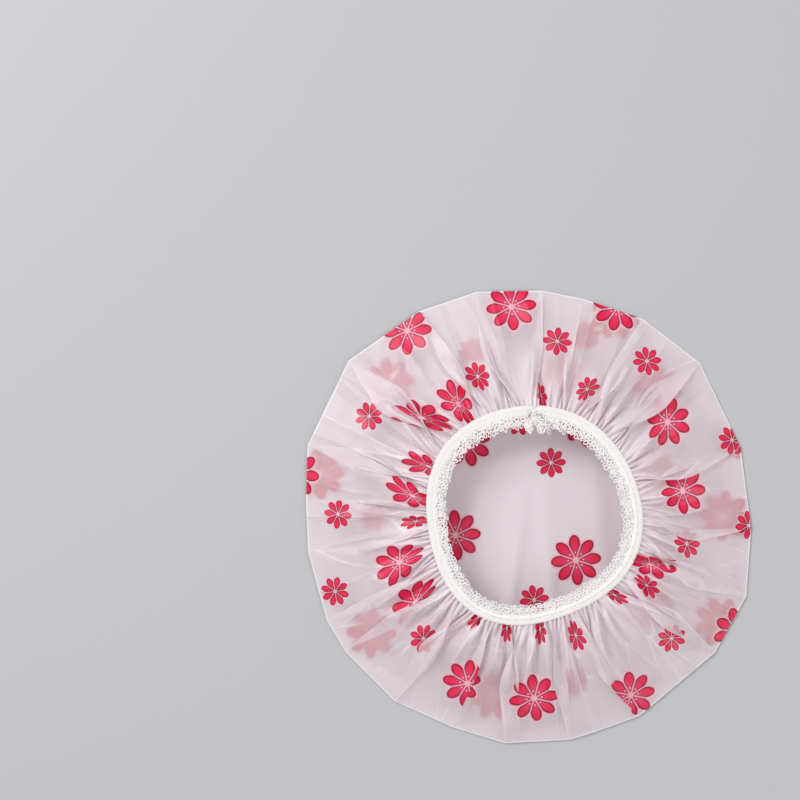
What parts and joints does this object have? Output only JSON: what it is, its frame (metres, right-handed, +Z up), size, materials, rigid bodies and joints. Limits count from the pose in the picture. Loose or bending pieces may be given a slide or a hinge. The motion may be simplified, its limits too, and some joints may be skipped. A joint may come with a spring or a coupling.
{
  "type": "shower cap",
  "caption": "Round gathered film shower cap with an elastic band and lace edging, lying flat with its opening upwards.",
  "frame": {"origin": "on the table under the middle of the folded outline", "axes": "+Z up, out of the opening; +Y towards the join of the trim; +X to the right of that, seen from above"},
  "size_m": [0.2774, 0.282, 0.0276],
  "materials": {
    "film": "thin milky film with a soft sheen, printed with pink-red flowers",
    "band": "white knitted elastic tape, folded over and smooth",
    "rubber": "natural square-cut rubber thread, dull",
    "lace": "white knitted lace with picot loops",
    "thread": "white polyester sewing thread"
  },
  "bodies": {
    "root": {"crown_film": "film", "elastic_band": "band", "rubber_thread_upper": "rubber", "rubber_thread_lower": "rubber", "lace_edging": "lace", "needle_thread": "thread", "bobbin_thread": "thread", "joining_tack": "thread"}
  },
  "joints": []
}
